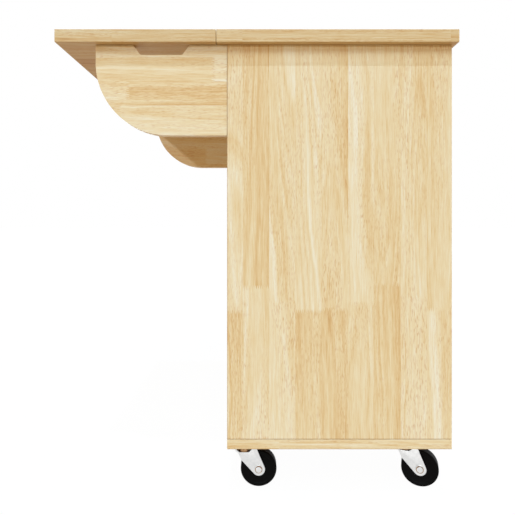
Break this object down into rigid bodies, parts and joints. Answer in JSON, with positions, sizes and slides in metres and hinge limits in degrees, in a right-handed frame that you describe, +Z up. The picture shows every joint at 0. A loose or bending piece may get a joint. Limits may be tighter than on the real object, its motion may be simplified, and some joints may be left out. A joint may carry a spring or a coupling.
{
  "type": "kitchen island cart",
  "caption": "Wooden kitchen island cart on swivel casters, with a drawer, a doored cabinet and a drop leaf on swing-out brackets.",
  "frame": {"origin": "on the floor, under the centre of the whole cart's box, with the leaf raised", "axes": "+Z up; +X to the front, where the drawer and the doors are; the leaf reaches towards -X; Y along the cart's length, with the near end at -Y"},
  "size_m": [0.7934, 0.61, 0.914],
  "materials": {
    "rubberwood": "satin lacquer over edge-glued, finger-jointed strips",
    "plywood": "thin matt plywood",
    "zinc": "bright zinc plate on pressed steel",
    "brass": "satin brass plate",
    "rubber": "moulded black, slightly glossy",
    "plastic": "matt moulded"
  },
  "bodies": {
    "cabinet": {"base_board": "rubberwood", "back_panel": "rubberwood", "front_top_rail": "rubberwood", "middle_rail": "rubberwood", "shelf": "rubberwood", "door_catch": "plastic", "worktop": "rubberwood", "end_panel_near": "rubberwood", "end_panel_far": "rubberwood", "shelf_pin_near_back": "zinc", "shelf_pin_near_front": "zinc", "shelf_pin_far_back": "zinc", "shelf_pin_far_front": "zinc", "drawer_runner_near": "rubberwood", "drawer_runner_far": "rubberwood", "leaf_hinge_plate_near": "zinc", "leaf_hinge_plate_far": "zinc", "bracket_hinge_plate_near": "zinc", "bracket_hinge_plate_far": "zinc", "door_hinge_plate_near_lower": "brass", "door_hinge_plate_near_upper": "brass", "door_hinge_plate_far_lower": "brass", "door_hinge_plate_far_upper": "brass", "caster_plate_back_near": "zinc", "caster_plate_back_far": "zinc", "caster_plate_front_near": "zinc", "caster_plate_front_far": "zinc"},
    "leaf": {"drop_leaf": "rubberwood", "leaf_hinge_flap_near": "zinc", "leaf_hinge_flap_far": "zinc"},
    "drawer": {"drawer_front": "rubberwood", "drawer_side_near": "rubberwood", "drawer_side_far": "rubberwood", "drawer_back": "rubberwood", "drawer_bottom": "plywood", "drawer_knob": "rubberwood"},
    "bracket_near": {"leaf_bracket_near": "rubberwood", "bracket_hinge_flap_near": "zinc"},
    "bracket_far": {"leaf_bracket_far": "rubberwood", "bracket_hinge_flap_far": "zinc"},
    "door_leaf_near": {"door_near": "rubberwood", "door_knob_near": "rubberwood", "door_hinge_flap_near_lower": "brass", "door_hinge_flap_near_upper": "brass"},
    "door_leaf_far": {"door_far": "rubberwood", "door_knob_far": "rubberwood", "door_hinge_flap_far_lower": "brass", "door_hinge_flap_far_upper": "brass"},
    "caster_back_near": {"caster_fork_back_near": "zinc", "caster_axle_back_near": "zinc"},
    "wheel_back_near": {"caster_wheel_back_near": "rubber"},
    "caster_back_far": {"caster_fork_back_far": "zinc", "caster_axle_back_far": "zinc"},
    "wheel_back_far": {"caster_wheel_back_far": "rubber"},
    "caster_front_near": {"caster_fork_front_near": "zinc", "caster_axle_front_near": "zinc"},
    "wheel_front_near": {"caster_wheel_front_near": "rubber"},
    "caster_front_far": {"caster_fork_front_far": "zinc", "caster_axle_front_far": "zinc"},
    "wheel_front_far": {"caster_wheel_front_far": "rubber"}
  },
  "joints": [
    {"name": "leaf_lift", "type": "hinge", "parent": "cabinet", "child": "leaf", "pos_m": [-0.0863, 0, 0.8856], "axis": [0, 1, 0], "range_deg": [0, 1]},
    {"name": "drawer_slide", "type": "slide", "parent": "cabinet", "child": "drawer", "axis": [1, 0, 0], "range_m": [0, 0.28]},
    {"name": "bracket_near_swing", "type": "hinge", "parent": "cabinet", "child": "bracket_near", "pos_m": [-0.0681, -0.2688, 0.80085], "axis": [0, 0, -1], "range_deg": [0, 90]},
    {"name": "bracket_far_swing", "type": "hinge", "parent": "cabinet", "child": "bracket_far", "pos_m": [-0.0681, 0.2688, 0.80085], "axis": [0, 0, 1], "range_deg": [0, 90]},
    {"name": "door_near_swing", "type": "hinge", "parent": "cabinet", "child": "door_leaf_near", "pos_m": [0.3752, -0.27, 0.419], "axis": [0, 0, -1], "range_deg": [0, 105]},
    {"name": "door_far_swing", "type": "hinge", "parent": "cabinet", "child": "door_leaf_far", "pos_m": [0.3752, 0.27, 0.419], "axis": [0, 0, 1], "range_deg": [0, 105]},
    {"name": "caster_back_near_swivel", "type": "hinge", "parent": "cabinet", "child": "caster_back_near", "pos_m": [-0.0342, -0.23, 0.085], "axis": [0, 0, 1], "continuous": true},
    {"name": "wheel_back_near_spin", "type": "hinge", "parent": "caster_back_near", "child": "wheel_back_near", "pos_m": [-0.0042, -0.23, 0.037], "axis": [0, 1, 0], "continuous": true},
    {"name": "caster_back_far_swivel", "type": "hinge", "parent": "cabinet", "child": "caster_back_far", "pos_m": [-0.0342, 0.23, 0.085], "axis": [0, 0, 1], "continuous": true},
    {"name": "wheel_back_far_spin", "type": "hinge", "parent": "caster_back_far", "child": "wheel_back_far", "pos_m": [-0.0042, 0.23, 0.037], "axis": [0, 1, 0], "continuous": true},
    {"name": "caster_front_near_swivel", "type": "hinge", "parent": "cabinet", "child": "caster_front_near", "pos_m": [0.3014, -0.222, 0.085], "axis": [0, 0, 1], "continuous": true},
    {"name": "wheel_front_near_spin", "type": "hinge", "parent": "caster_front_near", "child": "wheel_front_near", "pos_m": [0.32993, -0.23127, 0.037], "axis": [0.309, 0.9511, 0], "continuous": true},
    {"name": "caster_front_far_swivel", "type": "hinge", "parent": "cabinet", "child": "caster_front_far", "pos_m": [0.3014, 0.222, 0.085], "axis": [0, 0, 1], "continuous": true},
    {"name": "wheel_front_far_spin", "type": "hinge", "parent": "caster_front_far", "child": "wheel_front_far", "pos_m": [0.3314, 0.222, 0.037], "axis": [0, 1, 0], "continuous": true}
  ]
}
